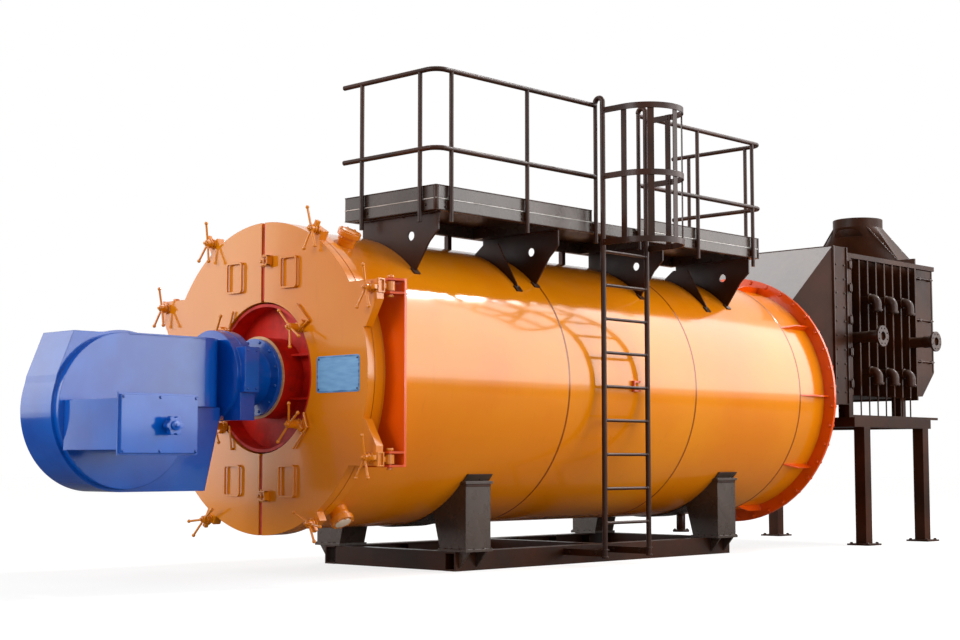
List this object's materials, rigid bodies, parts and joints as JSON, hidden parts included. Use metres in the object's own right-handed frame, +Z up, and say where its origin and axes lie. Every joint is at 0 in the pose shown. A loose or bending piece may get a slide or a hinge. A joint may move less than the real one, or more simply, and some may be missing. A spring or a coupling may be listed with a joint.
{
  "type": "industrial boiler",
  "caption": "Horizontal fire-tube boiler on a skid with split front doors, forced-draught burner, top platform with ladder, and a flue-gas economiser on a stand.",
  "frame": {"origin": "floor level at the middle of the skid's underside, on the middle cross beam", "axes": "+Z up, +Y from the doors towards the flue outlet, +X to the ladder side"},
  "size_m": [2.833, 9.947, 3.5673],
  "materials": {
    "burner_head": "glossy blue enamel",
    "burner_housing": "glossy blue enamel",
    "burner_well": "dark red heat-resistant paint",
    "damper_knob": "glossy blue enamel",
    "door_clamps_left": "glossy orange enamel",
    "door_clamps_right": "glossy orange enamel",
    "door_handles_left": "glossy orange enamel",
    "door_handles_right": "glossy orange enamel",
    "door_latch": "glossy orange enamel",
    "door_leaf_left": "glossy orange enamel",
    "door_leaf_right": "glossy orange enamel",
    "door_lining_left": "pale refractory lining",
    "door_lining_right": "pale refractory lining",
    "economiser_casing": "satin black-brown paint",
    "economiser_frame": "satin black-brown paint",
    "end_rails": "satin black-brown paint",
    "fan_motor": "glossy blue enamel",
    "flue_hood": "satin black-brown paint",
    "front_ring": "glossy orange enamel",
    "front_tube_plate": "dark red heat-resistant paint",
    "hinge_wings": "glossy orange enamel",
    "inlet_duct": "satin black-brown paint",
    "intake_box": "glossy blue enamel",
    "ladder": "satin black-brown paint",
    "ladder_cage": "satin black-brown paint",
    "name_plate": "blue enamelled plate, bare",
    "nozzles": "satin black-brown paint",
    "platform_deck": "satin black-brown paint",
    "platform_frame": "satin black-brown paint",
    "platform_supports": "satin black-brown paint",
    "rear_flange": "glossy orange enamel",
    "rear_head": "dark red heat-resistant paint",
    "rear_hood": "satin black-brown paint",
    "rear_shell": "glossy orange enamel",
    "return_bends": "satin black-brown paint",
    "saddles": "satin black-brown paint",
    "shell_barrel": "glossy orange enamel",
    "shell_lug": "dark red heat-resistant paint",
    "shell_stubs": "glossy orange enamel",
    "side_rails": "satin black-brown paint",
    "skid_cross_beams": "satin black-brown paint",
    "skid_rails": "satin black-brown paint",
    "stand_beams": "satin black-brown paint",
    "stand_legs": "satin black-brown paint",
    "toe_boards": "satin black-brown paint"
  },
  "bodies": {
    "boiler": {"burner_head": "burner_head", "burner_housing": "burner_housing", "burner_well": "burner_well", "damper_knob": "damper_knob", "economiser_casing": "economiser_casing", "economiser_frame": "economiser_frame", "end_rails": "end_rails", "fan_motor": "fan_motor", "flue_hood": "flue_hood", "front_ring": "front_ring", "front_tube_plate": "front_tube_plate", "hinge_wings": "hinge_wings", "inlet_duct": "inlet_duct", "intake_box": "intake_box", "ladder": "ladder", "ladder_cage": "ladder_cage", "nozzles": "nozzles", "platform_deck": "platform_deck", "platform_frame": "platform_frame", "platform_supports": "platform_supports", "rear_flange": "rear_flange", "rear_head": "rear_head", "rear_hood": "rear_hood", "rear_shell": "rear_shell", "return_bends": "return_bends", "saddles": "saddles", "shell_barrel": "shell_barrel", "shell_lug": "shell_lug", "shell_stubs": "shell_stubs", "side_rails": "side_rails", "skid_cross_beams": "skid_cross_beams", "skid_rails": "skid_rails", "stand_beams": "stand_beams", "stand_legs": "stand_legs", "toe_boards": "toe_boards"},
    "door_right": {"door_leaf_right": "door_leaf_right", "door_lining_right": "door_lining_right", "door_handles_right": "door_handles_right", "door_clamps_right": "door_clamps_right", "door_latch": "door_latch", "name_plate": "name_plate"},
    "door_left": {"door_leaf_left": "door_leaf_left", "door_lining_left": "door_lining_left", "door_handles_left": "door_handles_left", "door_clamps_left": "door_clamps_left"}
  },
  "joints": [
    {"name": "door_right_hinge", "type": "hinge", "parent": "boiler", "child": "door_right", "pos_m": [1.17, -2.76, 1.358], "axis": [0, 0, 1], "range_deg": [0, 110]},
    {"name": "door_left_hinge", "type": "hinge", "parent": "boiler", "child": "door_left", "pos_m": [-1.17, -2.76, 1.358], "axis": [0, 0, -1], "range_deg": [0, 110]}
  ]
}
